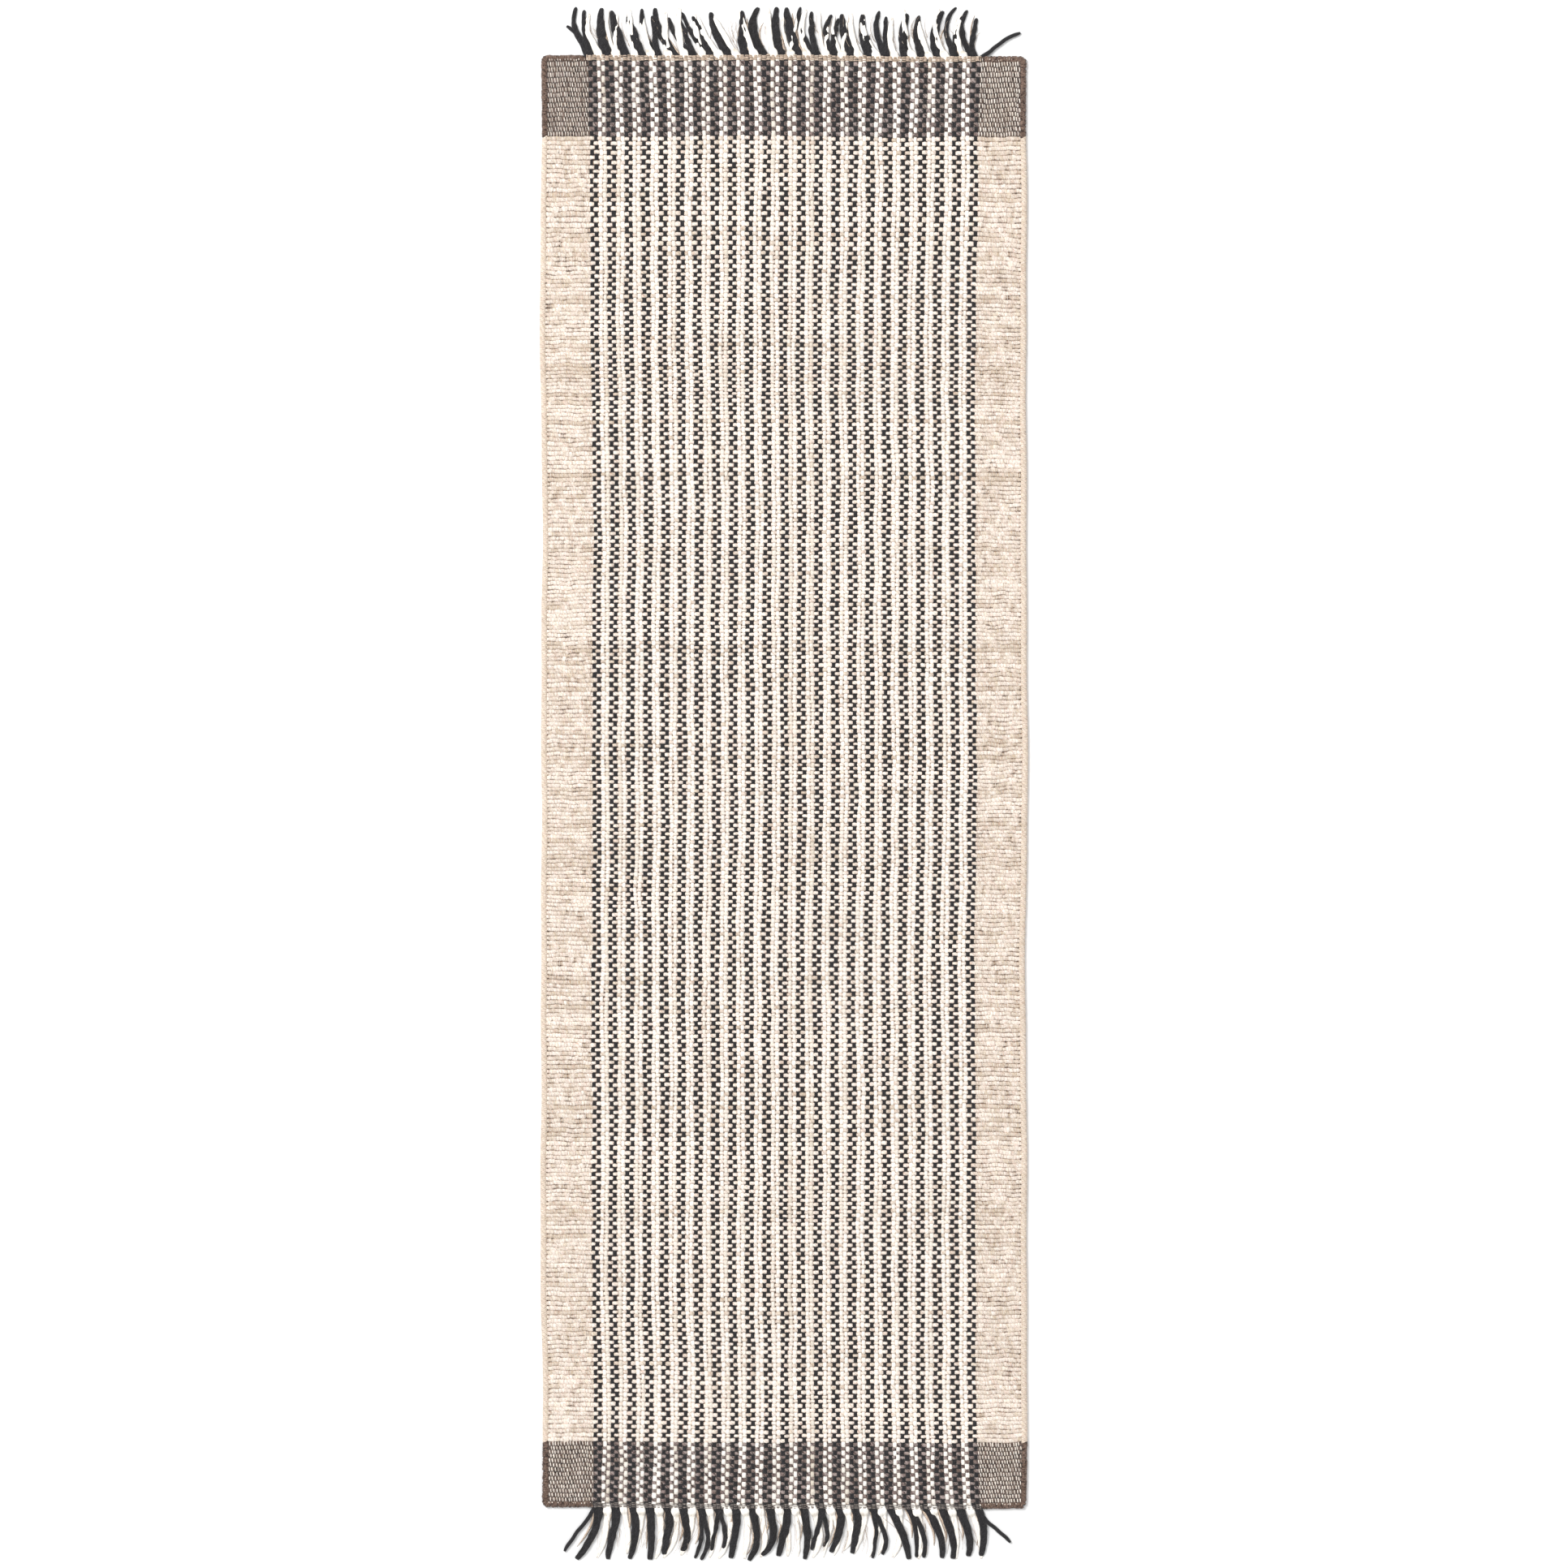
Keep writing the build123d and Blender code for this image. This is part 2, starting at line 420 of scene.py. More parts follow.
def map_range(tree, value, from_low, from_high, to_low=0.0, to_high=1.0):
    node = tree.nodes.new("ShaderNodeMapRange")
    node.interpolation_type = "SMOOTHSTEP"
    limits = {"From Min": from_low, "From Max": from_high, "To Min": to_low, "To Max": to_high}
    for socket, limit in limits.items():
        node.inputs[socket].default_value = limit
    link(tree, value, node.inputs["Value"])
    return node.outputs["Result"]


# How fine the noises are along a strand, and how much longer than wide fibres and flecks are
FIBRE_SCALE, FLECK_SCALE, HUE_SCALE = 1500, 480, 85
FIBRE_STRETCH = (0.16, 1, 1)
FLECK_STRETCH = (0.45, 1, 1)
FLECK_EDGE = 0.07
PLY_EDGE = 0.5 * MM
PLY_SHARE = 0.7
GROOVE_SHARE = 0.28  # how much painted shade darkens the groove between two plies
# Linear colours to multiply by
WHOLE = (1, 1, 1, 1)
PINK, STRAW = (1, 0.9, 0.87, 1), (1, 0.97, 0.87, 1)
DARKEST, LIGHTEST = (0.72, 0.67, 0.6, 1), (1.12, 1.1, 1.08, 1)
ROUGHNESS = (0.82, 0.98)
RELIEF = 0.5 * MM
GROOVE_RELIEF = 0.6


def wool(
    name, dark, body, light, shade_colour,
    ply=None, fleck=None, fleck_share=0.6, bump=0.5, hue=0.5, groove_width=0.9 * MM,
):
    """Two-ply spun yarn, from screen colours.

    Fibres run along the strand and turn with its twist. The fourth colour is painted shade: the material
    paints it over the yarn where a point lies low between other yarns, and partly into the groove between the
    plies. ply is the second ply's colour where it differs, and hue is how far the wool strays to pink and to
    straw along the strand. groove_width is how wide the groove between the plies is.
    """
    dark, body, light, shade_colour = (colour(*value) for value in (dark, body, light, shade_colour))
    material = bpy.data.materials.new(name)
    material.use_nodes = True
    tree = material.node_tree
    shader = tree.nodes["Principled BSDF"]
    shader.inputs["Sheen Weight"].default_value = 0.2
    shader.inputs["Sheen Roughness"].default_value = 0.6
    shader.inputs["Specular IOR Level"].default_value = 0.12
    strand = attribute(tree, "strand", "Vector")

    fibre = noise(tree, strand, FIBRE_SCALE, 3.0, stretch=FIBRE_STRETCH)
    colours = ramp(tree, fibre, ((0.3, dark), (0.5, body), (0.7, light)))
    axes = tree.nodes.new("ShaderNodeSeparateXYZ")
    link(tree, strand, axes.inputs[0])
    across = axes.outputs["Y"]
    if ply is not None:
        second = map_range(tree, across, -PLY_EDGE, PLY_EDGE, 0.0, PLY_SHARE)
        colours = mixed(tree, second, colours, colour(*ply))
    if fleck is not None:
        spots = noise(tree, strand, FLECK_SCALE, 1.0, stretch=FLECK_STRETCH)
        spots = map_range(tree, spots, fleck_share, fleck_share + FLECK_EDGE)
        colours = mixed(tree, spots, colours, colour(*fleck))

    stray = noise(tree, strand, HUE_SCALE, 2.0)
    hues = ramp(tree, stray, ((0.33, PINK), (0.5, WHOLE), (0.67, STRAW)))
    colours = mixed(tree, hue, colours, hues, "MULTIPLY")
    tone = attribute(tree, "tone", "Fac")
    tones = ramp(tree, tone, ((0.0, DARKEST), (PLAIN_TONE, WHOLE), (1.0, LIGHTEST)))
    colours = mixed(tree, 1.0, colours, tones, "MULTIPLY")

    # Painted shade: the groove between the two plies is painted partly in the shade colour
    groove = tree.nodes.new("ShaderNodeMath")
    groove.operation = "ABSOLUTE"
    link(tree, across, groove.inputs[0])
    groove = map_range(tree, groove.outputs[0], 0.0, groove_width)
    colours = mixed(tree, map_range(tree, groove, 0.0, 1.0, GROOVE_SHARE, 0.0), colours, shade_colour)
    # Painted shade: where a point's open value is low, down between or under other yarns, the shade colour is
    # painted over the yarn's own
    colours = mixed(tree, map_range(tree, attribute(tree, "open", "Fac"), 0.0, 0.9), shade_colour, colours)
    link(tree, colours, shader.inputs["Base Color"])
    link(tree, map_range(tree, fibre, 0.2, 0.8, *ROUGHNESS), shader.inputs["Roughness"])

    relief = tree.nodes.new("ShaderNodeMath")
    relief.operation = "MULTIPLY_ADD"
    relief.inputs[1].default_value = GROOVE_RELIEF
    link(tree, groove, relief.inputs[0])
    link(tree, fibre, relief.inputs[2])
    raised = tree.nodes.new("ShaderNodeBump")
    raised.inputs["Strength"].default_value = bump
    raised.inputs["Distance"].default_value = RELIEF
    link(tree, relief.outputs[0], raised.inputs["Height"])
    link(tree, raised.outputs["Normal"], shader.inputs["Normal"])
    return material


charcoal = wool("charcoal_wool", (15, 14, 15), (34, 33, 35), (67, 65, 68), (12, 11, 12), hue=0.15)
ivory = wool(
    "ivory_wool", (236, 229, 219), (251, 248, 242), (255, 255, 252), (196, 176, 157), bump=0.35, hue=0.15
)
beige = wool(
    "beige_weft", (214, 194, 180), (243, 231, 220), (255, 253, 248), (112, 68, 26),
    fleck=(212, 176, 156), fleck_share=0.68, hue=0.65,
)
taupe = wool(
    "taupe_marl_weft", (62, 49, 47), (122, 105, 101), (184, 168, 162), (32, 25, 24),
    ply=(168, 155, 151), fleck=(54, 43, 41), fleck_share=0.56,
)
cotton = wool(
    "white_cotton", (222, 206, 190), (252, 243, 232), (255, 253, 247), (110, 86, 72),
    hue=0.2, groove_width=0.15 * MM,
)
selvedge_wool = wool(
    "beige_overcast", (192, 170, 151), (226, 210, 193), (250, 241, 230), (104, 76, 60), hue=0.6
)
brown = wool(
    "brown_overcast", (64, 48, 41), (112, 91, 81), (170, 147, 132), (46, 34, 30),
    fleck=(60, 46, 41), fleck_share=0.55, bump=0.8,
)
jute = wool(
    "beige_twine", (150, 124, 105), (202, 181, 161), (236, 222, 207), (58, 44, 38),
    hue=0.3, groove_width=0.5 * MM,
)
marl = wool(
    "grey_marl_thread", (64, 57, 55), (122, 112, 108), (198, 190, 184), (34, 30, 30),
    ply=(166, 156, 150), groove_width=0.3 * MM,
)
# Painted shade: the colour of the dark sheet that stands for the shade in the gaps between yarns
shadow = wool("gap_shade_sheet", (58, 44, 36), (82, 64, 54), (106, 86, 74), (40, 30, 26), bump=0.2)

# ---- where the yarns lie


BEAT_SLOW = ((14, 0.045),)  # how unevenly the rows are beaten, over many rows
BEAT_SPREAD = 0.06  # and from row to row


def picks_in(low, high, pitch):
    """Rows of weft between two ends, beaten a little unevenly: each row's middle and length."""
    count = round((high - low) / pitch)
    lengths = 1 + varied(1, count, BEAT_SLOW)[0] + BEAT_SPREAD * rng.standard_normal(count)
    edges = low + (high - low) * np.concatenate([[0], np.cumsum(lengths)]) / lengths.sum()
    return (edges[1:] + edges[:-1]) / 2, np.diff(edges)


foot_rows = picks_in(BAND_FOOT_Y, FIELD_FOOT_Y, FOOT_TAUPE_PICK)
field_rows = picks_in(FIELD_FOOT_Y, FIELD_HEAD_Y, BEIGE_PICK)
head_rows = picks_in(FIELD_HEAD_Y, BAND_HEAD_Y, HEAD_TAUPE_PICK)
all_rows = (foot_rows, field_rows, head_rows)
PICK_Y, PICK_LENGTH = np.concatenate(all_rows, axis=1)
PICK_KIND = np.repeat([TAUPE, BEIGE, TAUPE], [len(rows[0]) for rows in all_rows])
PICKS = np.arange(len(PICK_Y))

WARP_PITCH = 2 * PANEL_X / WARP_COUNT
WARP_X = -PANEL_X + (np.arange(WARP_COUNT) + 0.5) * WARP_PITCH
WARP_X = WARP_X + WARP_PLACE_SPREAD * rng.standard_normal(WARP_COUNT)
WARP_IS_DARK = (np.arange(WARP_COUNT) // 2) % 2 == 0
COTTON_COUNT = round((BORDER_X - PANEL_X) / COTTON_PITCH)
COTTON_STEP = (BORDER_X - PANEL_X) / COTTON_COUNT
RIGHT_COTTON_X = PANEL_X + (np.arange(COTTON_COUNT) + 0.5) * COTTON_STEP
RIGHT_COTTON_X = RIGHT_COTTON_X + COTTON_PLACE_SPREAD * rng.standard_normal(COTTON_COUNT)
LEFT_COTTON_X = -RIGHT_COTTON_X[::-1]
CROSS_X = np.concatenate([LEFT_COTTON_X, WARP_X, RIGHT_COTTON_X])
CROSS_IS_WARP = np.abs(CROSS_X) < PANEL_X

# Every crossing of a weft and a warp sits a little off its place, and both of its yarns follow it. The first
# and last rows stand for the warps' ends, past the weft.
ROWS_AND_COLUMNS = (len(PICK_Y) + 2, len(CROSS_X))
BORDER_RUN_IN = 30 * MM  # how far into the border its rows' own waves reach their full height
IN_BORDER = np.clip((np.abs(CROSS_X) - PANEL_X) / BORDER_RUN_IN, 0, 1)
COTTON_SHIFT = 0.7  # how far the fine warps' crossings shift, against the panel's


def shifts(*parts):
    """Shifts for all crossings, from parts: each is a reach over rows, a reach along them and a spread."""
    return sum(spread * wander_field(*ROWS_AND_COLUMNS, rows, reach) for rows, reach, spread in parts)


SHIFT_X = shifts((6, 1, 0.6 * MM), (0, 0, 0.35 * MM)) * np.where(CROSS_IS_WARP, 1, COTTON_SHIFT)
SHIFT_Y = shifts((3, 5, 0.5 * MM), (0, 0, 0.3 * MM)) + IN_BORDER * shifts((7, 12, 0.55 * MM))


def over(pick, crossing):
    """One where the weft passes over, minus one where it passes under."""
    return 1 - 2.0 * ((pick + crossing) % 2)


# ---- weft


def weft(name, picks, material, slot, *nodes):
    """Picks of weft, whose ends are tucked under both selvedges."""
    kind = PICK_KIND[picks]
    count, crossings = len(picks), len(CROSS_X) + 2
    cross_x = np.concatenate([[-BORDER_X - WEFT_TUCK], CROSS_X, [BORDER_X + WEFT_TUCK]])
    is_warp = np.concatenate([[False], CROSS_IS_WARP, [False]])
    left, share = rings_between(np.where(is_warp[1:] & is_warp[:-1], 3, 2))
    sign = over(picks[:, None], np.arange(crossings)[None] - 1)
    sign[:, [0, -1]] = 0
    shift_x = np.pad(SHIFT_X[picks + 1], ((0, 0), (1, 1)), mode="edge")
    shift_y = np.pad(SHIFT_Y[picks + 1], ((0, 0), (1, 1)), mode="edge")
    shift_y -= np.where(is_warp, 0, PINCH_SHIFT * (sign < 0))

    length = PICK_LENGTH[picks][:, None]
    plump = 1 + varied(count, crossings, WEFT_UNEVEN) + PICK_SPREAD * rng.standard_normal(count)[:, None]
    # In the borders the fine warps pinch the weft into a row of grains, more where it is loosely spun
    loose = np.clip(0.5 + 0.5 * wander(count, crossings, 6), 0, 1.4)
    grains = wander(count, crossings, 1)
    grain = 1 + loose * (GRAIN_SWELL * sign + GRAIN_SPREAD * grains)
    half_width = length * np.where(is_warp, np.take(WEFT_FILL, kind)[:, None] * plump, BORDER_FILL * grain)
    half_width[:, [0, 1, -2, -1]] *= 1 - END_PINCH
    panel_height = WEFT_HALF_HEIGHT * (1 + HEIGHT_SHARE * (plump - 1))
    border_height = np.take(BORDER_HALF_HEIGHT, kind)[:, None] * (1 + GRAIN_HEIGHT_SHARE * (grain - 1))
    half_height = np.where(is_warp, panel_height, border_height)
    swing = np.where(is_warp, np.take(WEFT_SWING, kind)[:, None], np.take(BORDER_SWING, kind)[:, None])
    shade = [np.where(is_warp, *limits) for limits in zip(PANEL_SHADE, BORDER_SHADE, strict=True)]

    bulge = np.where(is_warp[left], 0, BORDER_BULGE) * np.sin(np.pi * share) ** 2
    # Painted shade: a dot of shadow is painted between the rows at each fine warp, some deeper than others
    deep = np.clip(0.6 + 0.5 * wander(count, crossings, 3), 0, 1)[:, left] * ~is_warp[left]
    dots = deep * (share == 0)
    # Painted shade: the rows' rims are painted darker where they meet, and darkest at the dots
    rim_open = RIM_OPEN * ~is_warp[left] - RIM_DEEP * deep - RIM_DOT * dots
    height_open = cloth_openness([line_mix(limit, left, share) for limit in shade])

    def open_at(points):
        return np.maximum(height_open(points) * (1 - FACE_DOT * dots)[..., None], rim_open[..., None])

    centres = np.zeros((count, len(left), 3))
    centres[..., 0] = line_mix(cross_x + shift_x, left, share)
    centres[..., 1] = PICK_Y[picks][:, None] + smooth_mix(shift_y, left, share)
    centres[..., 2] = MIDDLE_Z + smooth_mix(sign * swing, left, share)
    tone = PLAIN_TONE + PICK_TONE_SPREAD * rng.standard_normal(count)[:, None]
    tone = tone + smooth_mix(varied(count, crossings, WEFT_TONE), left, share)
    # Painted shade in the borders and corner blocks, for the fine shadows between the grains, plus a real
    # mottle from grain to grain
    border_shade_and_mottle = np.take(BORDER_PAINTED_SHADE, kind)[:, None] + BORDER_MOTTLE * grains[:, left]
    tone = tone + border_shade_and_mottle * ~is_warp[left]
    half_width = smooth_mix(half_width, left, share) * (1 + bulge)
    half_height = smooth_mix(half_height, left, share)
    piece = tubes(name, settle(centres), half_width, half_height, material, tone=tone, open_at=open_at)
    return hold(piece, slot, *nodes)


# ---- warps

ROW_Y = np.concatenate([[PICK_Y[0] - PICK_LENGTH[0]], PICK_Y, [PICK_Y[-1] + PICK_LENGTH[-1]]])


def warp_set(name, crossings, spans, cottons, material, slot, *nodes):
    """Warps of one kind, cut across into spans of rows that meet end to end."""
    rows = np.arange(-1, len(PICKS) + 1)
    kind = PICK_KIND[np.clip(rows, 0, len(PICKS) - 1)]
    count = len(crossings)
    sign = -over(rows[None], crossings[:, None])
    cross_x = CROSS_X[crossings][:, None] + SHIFT_X.T[crossings]
    cross_y = ROW_Y[None] + SHIFT_Y.T[crossings]
    if cottons:
        plump = 1 + varied(count, len(rows), COTTON_UNEVEN)
        sunk = (cross_x < 0) & (cross_y > FIELD_HEAD_Y)
        half_width = np.take(COTTON_HALF_WIDTH, kind) * plump * np.where(sunk, SUNK_COTTON, 1)
        slant = np.take(COTTON_SLANT, kind) * sign
        half_height = COTTON_HALF_HEIGHT * np.ones_like(half_width)
        swing = np.take(COTTON_SWING, kind) * (1 + 0.1 * wander(count, len(rows), 0))
        rings, sides, shade, flat = 4, 4, COTTON_SHADE, COTTON_FLAT
    else:
        plump = 1 + varied(count, len(rows), WARP_UNEVEN)
        half_width = np.take(WARP_HALF_WIDTH, kind) * plump
        half_height = np.take(WARP_HALF_HEIGHT, kind) * (1 + HEIGHT_SHARE * (plump - 1))
        swing = np.take(WARP_SWING, kind)
        slant = np.zeros_like(sign)
        rings, sides, shade, flat = 3, 6, PANEL_SHADE, 0.0
    lift = sign * swing
    own_tone = PLAIN_TONE + WARP_TONE_SPREAD * rng.standard_normal(count)[:, None]
    tone_rows = own_tone + varied(count, len(rows), WARP_TONE)
    pieces = []
    for number, (first, last) in enumerate(spans):
        left, share = rings_between(np.full(last - first, rings))
        left = left + first
        centres = np.zeros((count, len(left), 3))
        centres[..., 0] = smooth_mix(cross_x, left, share) + slant[:, left] * np.sin(np.pi * share)
        centres[..., 1] = line_mix(cross_y, left, share)
        centres[..., 2] = MIDDLE_Z + smooth_mix(lift, left, late(share, flat))
        piece = tubes(
            f"{name}_{number + 1}", settle(centres), smooth_mix(half_width, left, share),
            smooth_mix(half_height, left, share), material, sides=sides,
            tone=smooth_mix(tone_rows, left, share), open_at=cloth_openness(shade),
        )
        pieces.append(hold(piece, slot, *(nodes if number == 0 else ())))
    return pieces


WEFT_PARTS, WARP_PARTS = 8, 3  # the long sets of yarns are cut into this many pieces


def spans_of(total, parts):
    """Cuts a run of rows into parts: each part's first row and the row after its last."""
    edges = np.linspace(0, total, parts + 1).round().astype(int)
    return list(zip(edges[:-1], edges[1:], strict=True))


def weave():
    """All of the cloth's yarns."""
    pieces = []
    foot_count, field_count = len(foot_rows[0]), len(field_rows[0])
    for end, picks in (("foot", PICKS[:foot_count]), ("head", PICKS[foot_count + field_count :])):
        nodes = [f"{end}_{zone}" for zone in ("end_band", "left_corner_block", "right_corner_block")]
        pieces.append(weft(f"taupe_weft_{end}", picks, taupe, "taupe_weave", *nodes))
    for number, (first, last) in enumerate(spans_of(field_count, WEFT_PARTS)):
        picks = PICKS[foot_count + first : foot_count + last]
        pieces.append(weft(f"beige_weft_{number + 1}", picks, beige, "striped_weave"))

    warp_spans = spans_of(len(PICKS) + 1, WARP_PARTS)
    crossings = COTTON_COUNT + np.arange(WARP_COUNT)
    panel = ("centre_panel_head", "centre_panel_foot")
    for name, chosen, material, slot, nodes in (
        ("dark_warps", WARP_IS_DARK, charcoal, "dark_yarn", panel),
        ("ivory_warps", ~WARP_IS_DARK, ivory, "ivory_yarn", ()),
    ):
        pieces += warp_set(name, crossings[chosen], warp_spans, False, material, slot, *nodes)
    for side, first in (("left", 0), ("right", COTTON_COUNT + WARP_COUNT)):
        nodes = (f"{side}_border_head", f"{side}_border_foot")
        crossings = first + np.arange(COTTON_COUNT)
        pieces += warp_set(f"cotton_warps_{side}", crossings, warp_spans, True, cotton, "beige_weave", *nodes)
    return pieces


INNER_INSET = 2 * MM
INNER_COLUMNS, INNER_ROWS = 39, 343


def gap_shade_sheet():
    """Painted shade: a dark sheet at the cloth's middle height, which shows only in the gaps between yarns,
    where the real rug has shade.
    """
    columns = np.linspace(-BORDER_X, BORDER_X, INNER_COLUMNS)
    rows = np.linspace(CLOTH_FOOT_Y + INNER_INSET, CLOTH_HEAD_Y - INNER_INSET, INNER_ROWS)
    grid = np.zeros((len(rows), len(columns), 3))
    grid[..., 0], grid[..., 1] = np.meshgrid(columns, rows)
    grid[..., 2] = MIDDLE_Z
    number = np.arange(grid[..., 0].size).reshape(grid.shape[:2])
    quads = np.stack([number[:-1, :-1], number[:-1, 1:], number[1:, 1:], number[1:, :-1]], axis=-1)
    count = quads.size // 4
    piece = new_mesh_object(
        "gap_shade_sheet", settle(grid).reshape(-1, 3), quads.ravel(), np.arange(count) * 4,
        np.ones(count, bool), shadow,
    )
    keep(piece, grid, np.full(number.size, PLAIN_TONE), np.ones(number.size))
    return hold(piece, "striped_weave")


# ---- overcast edges

WRAP_HALF_HEIGHT = 1.2 * MM  # the wrapping yarn lies flat on the edge
WRAP_LEAN = 3.2 * MM  # how far a wrap runs along the edge as it crosses the face
WRAP_FILL = 0.68  # a wrap's half width over the wraps' pitch
# How unequal wraps are, before an edge's own unevenness: in place, lean, reach, width and tone
UNEVEN_PLACE, UNEVEN_LEAN, UNEVEN_REACH, UNEVEN_WIDTH, UNEVEN_TONE = 0.3 * MM, 0.2, 0.06, 0.1, 0.16
RINGS_PER_WRAP = 12
SEAM = 1.5 * MM  # the two halves of a selvedge share this much beyond the rug's middle
SMOOTHING = 19  # rings
EDGE_HALF_HEIGHT = 3.85 * MM
SELVEDGE_PITCH = BEIGE_PICK / 2
SELVEDGE_UNEVENNESS = 0.6
BINDING_PITCH = 3.0 * MM
BINDING_UNEVENNESS = 1.6
BINDING_OVERSIZE = 1.04  # the bindings stand out a little past their CAD solids
BINDING_RADIUS = 3 * MM
BINDING_END = 1 * MM  # from the centre panel's side
ARC_STEPS = 6


def overcast(name, path, half_width, half_height, pitch, unevenness, material, slot, *nodes):
    """A yarn wrapped round and round an edge. path is the edge's middle line, as points in the plane."""
    path = np.asarray(path, float)
    run = np.concatenate([[0], np.cumsum(np.linalg.norm(np.diff(path, axis=0), axis=1))])
    wraps = int(run[-1] / pitch)
    turns = np.arange(wraps * RINGS_PER_WRAP + 1) / RINGS_PER_WRAP

    def uneven(amount):
        return unevenness * amount * np.interp(turns, range(wraps + 1), rng.standard_normal(wraps + 1))

    angle = 2 * np.pi * turns
    where = turns * pitch + uneven(UNEVEN_PLACE)
    where = where + WRAP_LEAN * (1 + uneven(UNEVEN_LEAN)) * np.cos(angle)
    x, y = (np.interp(where, run, path[:, k]) for k in (0, 1))
    middle_x, middle_y = (np.interp(turns * pitch, run, path[:, k]) for k in (0, 1))
    ahead = np.stack([np.gradient(middle_x), np.gradient(middle_y)])
    window = np.ones(SMOOTHING) / SMOOTHING
    ahead = np.pad(ahead, ((0, 0), (SMOOTHING // 2, SMOOTHING // 2)), mode="edge")
    ahead = np.array([np.convolve(row, window, mode="valid") for row in ahead])
    ahead /= np.linalg.norm(ahead, axis=0)
    reach = (half_width - WRAP_HALF_HEIGHT) * (1 + uneven(UNEVEN_REACH))
    centres = np.zeros((1, len(turns), 3))
    centres[0, :, 0] = x + ahead[1] * reach * np.cos(angle)
    centres[0, :, 1] = y - ahead[0] * reach * np.cos(angle)
    centres[0, :, 2] = half_height + (half_height - WRAP_HALF_HEIGHT) * np.sin(angle)
    centres = settle(centres)
    thick = (WRAP_FILL * pitch * (1 + uneven(UNEVEN_WIDTH)))[None]
    tone = (PLAIN_TONE + uneven(UNEVEN_TONE))[None]
    outward = np.stack([ahead[1] * np.cos(angle), -ahead[0] * np.cos(angle), np.sin(angle)], axis=-1)[None]

    # Painted shade: the side of each wrap that faces the edge it wraps is painted in shade
    def open_at(points):
        return ((points - centres[:, :, None]) * outward[:, :, None]).sum(3) / WRAP_HALF_HEIGHT

    piece = tubes(
        name, centres, thick, WRAP_HALF_HEIGHT, material,
        sides=8, tone=tone, turn=10 * MM, facing=outward, open_at=open_at,
    )
    return hold(piece, slot, *nodes)


def corner_line(side, end, inset):
    """The middle line of a corner binding: along the side, round the outer corner and along the end."""
    way, cloth_y, _ = ENDS[end]
    field_y = FIELD_HEAD_Y if end == "head" else FIELD_FOOT_Y
    corner_x, corner_y = OUTER_X - inset - BINDING_RADIUS, abs(cloth_y) - inset - BINDING_RADIUS
    points = [(OUTER_X - inset, abs(field_y))]
    for step in range(ARC_STEPS + 1):
        angle = math.radians(90 * step / ARC_STEPS)
        bend_x, bend_y = BINDING_RADIUS * math.cos(angle), BINDING_RADIUS * math.sin(angle)
        points.append((corner_x + bend_x, corner_y + bend_y))
    points.append((PANEL_X + BINDING_END, abs(cloth_y) - inset))
    return [(side * x, way * y) for x, y in points]


def edges():
    """Selvedges and corner bindings."""
    half_width = (OUTER_X - BORDER_X) / 2
    cord_x = BORDER_X + half_width
    for side_name, side in (("left", -1), ("right", 1)):
        for end, y_range in (("head", (-SEAM, FIELD_HEAD_Y)), ("foot", (FIELD_FOOT_Y, SEAM))):
            overcast(
                f"{side_name}_selvedge_cord_{end}", [(side * cord_x, y) for y in y_range], half_width,
                EDGE_HALF_HEIGHT, SELVEDGE_PITCH, SELVEDGE_UNEVENNESS, selvedge_wool, "beige_binding",
                f"{side_name}_selvedge_{end}",
            )
        for end in ENDS:
            overcast(
                f"{end}_{side_name}_corner_cord", corner_line(side, end, half_width),
                half_width * BINDING_OVERSIZE, EDGE_HALF_HEIGHT, BINDING_PITCH, BINDING_UNEVENNESS,
                brown, "brown_binding", f"{end}_{side_name}_corner_binding",
            )


# ---- twined headers

HEADER_ROWS = (2.1 * MM, 6.2 * MM)  # from the cloth's end
HEADER_SWING = 2.5 * MM  # how far the threads go over and under the cloth's middle
HEADER_FLAT = 0.26
HEADER_PLACE_SPREAD = 0.35 * MM
TURN_OFFSET = 0.3 * MM  # how far the threads that take turns lie from their row's middle
THREAD_FLATNESS = 0.85
# The threads' half width, half the distance between a doubled thread's two, the material and the slot
HEADERS = {
    "head": (1.05 * MM, 1.05 * MM, jute, "beige_header"),
    "foot": (0.58 * MM, 0.95 * MM, marl, "grey_header"),
}


def header(end):
    """Two rows of twining, where two doubled threads take turns to pass over and under each warp."""
    way, cloth_y, _ = ENDS[end]
    thick, spread, material, slot = HEADERS[end]
    cross_x = np.concatenate([[-PANEL_X - HEADER_TUCK], WARP_X, [PANEL_X + HEADER_TUCK]])
    left, share = rings_between(np.full(len(cross_x) - 1, 5))
    rows = [(row, strand, turn) for row in HEADER_ROWS for strand in (-1, 1) for turn in (0, 1)]
    centres = np.zeros((len(rows), len(left), 3))
    level = np.arange(len(cross_x))
    for line, (row, strand, turn) in zip(centres, rows, strict=True):
        lift = over(turn, level) * HEADER_SWING
        line[:, 0] = line_mix(cross_x, left, share)
        line[:, 1] = cloth_y - way * row + strand * spread + TURN_OFFSET * over(turn, 0)
        line[:, 2] = MIDDLE_Z + smooth_mix(lift, left, late(share, HEADER_FLAT))
    centres[..., 1] += HEADER_PLACE_SPREAD * smooth_mix(wander(len(rows), len(cross_x), 0), left, share)
    plump = 1 + smooth_mix(varied(len(rows), len(cross_x), HEADER_UNEVEN), left, share)
    tone = PLAIN_TONE + smooth_mix(varied(len(rows), len(cross_x), HEADER_TONE), left, share)
    piece = tubes(
        f"{end}_twining", settle(centres), thick * plump, THREAD_FLATNESS * thick * plump, material,
        tone=tone, turn=5 * MM, open_at=cloth_openness(HEADER_SHADE),
    )
    return hold(piece, slot, f"{end}_header")


# ---- fringe

FRINGE_RINGS = 34
FRINGE_TUCK = 7 * MM  # the locks start under the header
SHARE = np.linspace(0, 1, FRINGE_RINGS)
